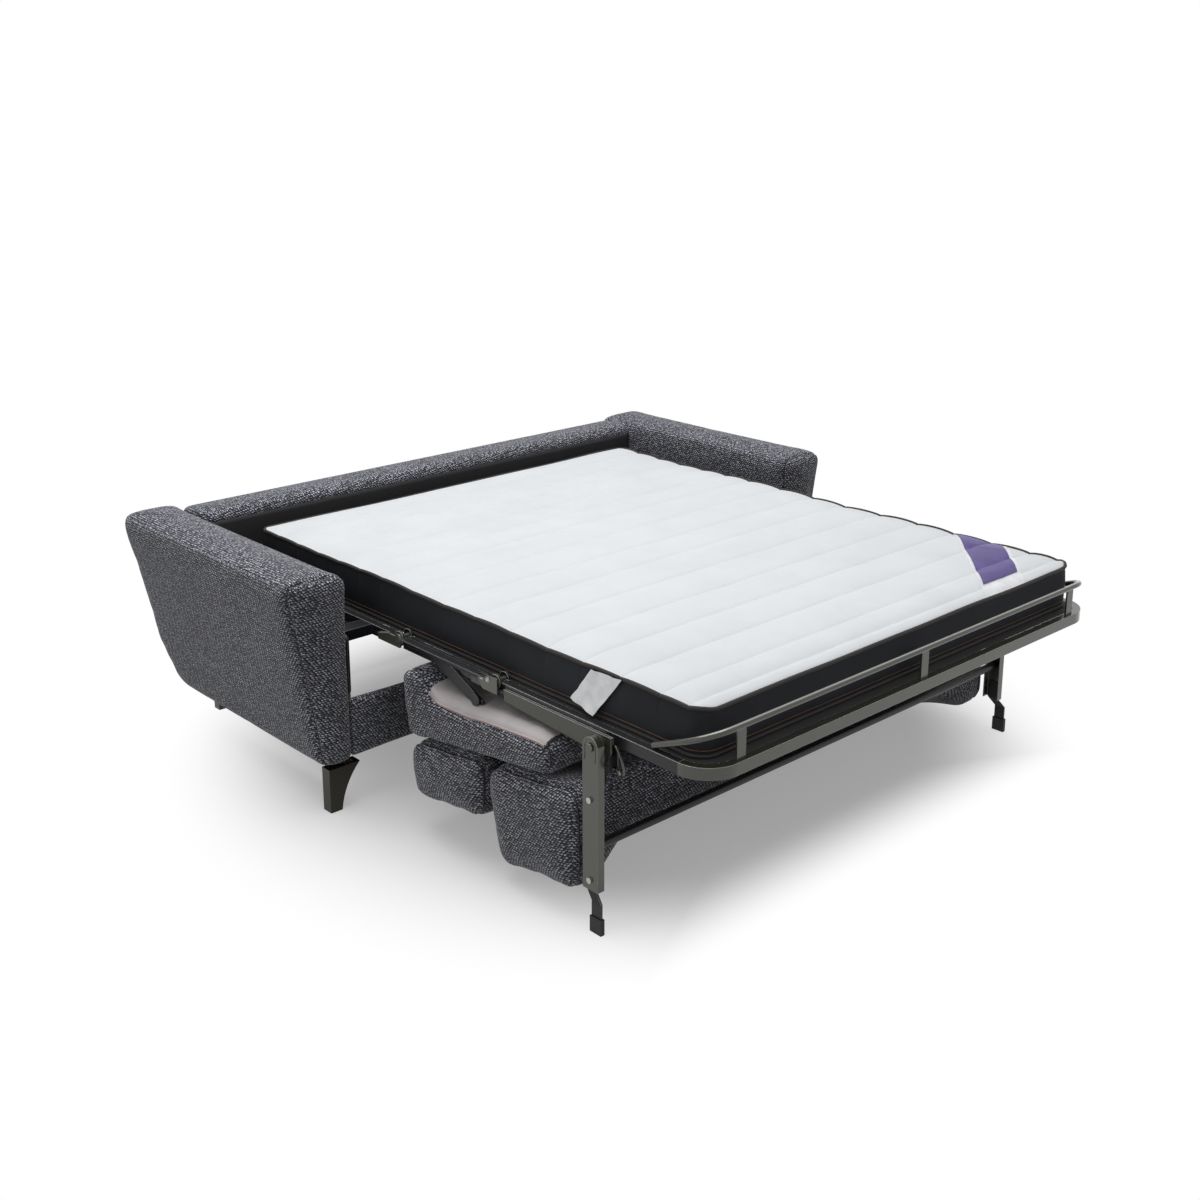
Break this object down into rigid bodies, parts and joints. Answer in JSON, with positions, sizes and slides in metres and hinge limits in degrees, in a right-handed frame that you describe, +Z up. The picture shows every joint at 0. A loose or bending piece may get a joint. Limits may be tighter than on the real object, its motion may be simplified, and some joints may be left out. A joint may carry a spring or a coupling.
{
  "type": "sofa bed",
  "caption": "Upholstered sofa bed opened flat: steel fold-out frame with quilted mattress, folding legs, foot guard and seat and back cushions turned under.",
  "frame": {"origin": "centre of the bounding box on the floor, with the bed open", "axes": "+X across the sofa, -Y from the sofa's back towards the foot of the bed, +Z up"},
  "size_m": [1.9994, 2.014, 0.628],
  "materials": {
    "upholstery": "coarse charcoal boucle weave",
    "black_lining": "plain black lining",
    "grey_lining": "smooth grey non-woven lining",
    "timber": "raw softwood",
    "leg_metal": "dark bronze gloss",
    "frame_metal": "satin olive grey",
    "black_metal": "satin black",
    "zinc": "zinc plated",
    "rubber": "matt black",
    "mattress": "white quilted knit with black border"
  },
  "bodies": {
    "sofa": {"arm_left": "upholstery", "arm_right": "upholstery", "base_side_board_left": "timber", "base_side_board_right": "timber", "head_rail_left": "frame_metal", "head_rail_right": "frame_metal", "side_bracket_left": "black_metal", "side_bracket_right": "black_metal", "sofa_back": "upholstery", "back_lining": "black_lining", "base_front_rail": "upholstery", "front_legs": "leg_metal", "rear_legs": "leg_metal", "head_rear_tube": "black_metal", "head_front_tube": "black_metal", "head_mesh": "black_metal", "rear_hinge_pins": "zinc", "mattress_head": "mattress", "mattress_rear_fold": "mattress"},
    "mid_section": {"mid_rail_left": "frame_metal", "mid_rail_right": "frame_metal", "link_bar_left": "frame_metal", "link_bar_right": "frame_metal", "seat_hanger_left": "black_metal", "seat_hanger_right": "black_metal", "mid_tube": "black_metal", "mid_mesh": "black_metal", "front_hinge_pins": "zinc", "mattress_middle": "mattress", "mattress_front_fold": "mattress", "seat_cushion": "upholstery", "seat_lining": "grey_lining", "back_board": "timber", "headrest_cushion": "upholstery", "backrest_cushion": "upholstery"},
    "foot_section": {"foot_side_rail_left": "frame_metal", "foot_side_rail_right": "frame_metal", "foot_end_rail": "frame_metal", "foot_tube": "black_metal", "foot_mesh": "black_metal", "mattress_guard": "frame_metal", "guard_posts": "frame_metal", "leg_pivots": "frame_metal", "mattress_foot": "mattress"},
    "folding_legs": {"leg_left": "frame_metal", "leg_right": "frame_metal", "leg_toe_left": "black_metal", "leg_toe_right": "black_metal", "leg_shoes": "rubber", "leg_tube": "black_metal", "leg_bolts": "zinc"}
  },
  "joints": [
    {"name": "bed_fold", "type": "hinge", "parent": "sofa", "child": "mid_section", "pos_m": [0, 0.04, 0.46], "axis": [-1, 0, 0], "range_deg": [0, 90], "deforming": ["mattress_rear_fold"]},
    {"name": "foot_fold", "type": "hinge", "parent": "mid_section", "child": "foot_section", "pos_m": [0, -0.34, 0.46], "axis": [-1, 0, 0], "range_deg": [0, 90], "deforming": ["mattress_front_fold"]},
    {"name": "leg_fold", "type": "hinge", "parent": "foot_section", "child": "folding_legs", "pos_m": [0, -0.705, 0.432], "axis": [-1, 0, 0], "range_deg": [0, 80]}
  ],
  "couplings": [
    {"joint": "foot_fold", "follows": "bed_fold", "ratio": 1},
    {"joint": "leg_fold", "follows": "bed_fold", "ratio": 0.8888}
  ]
}
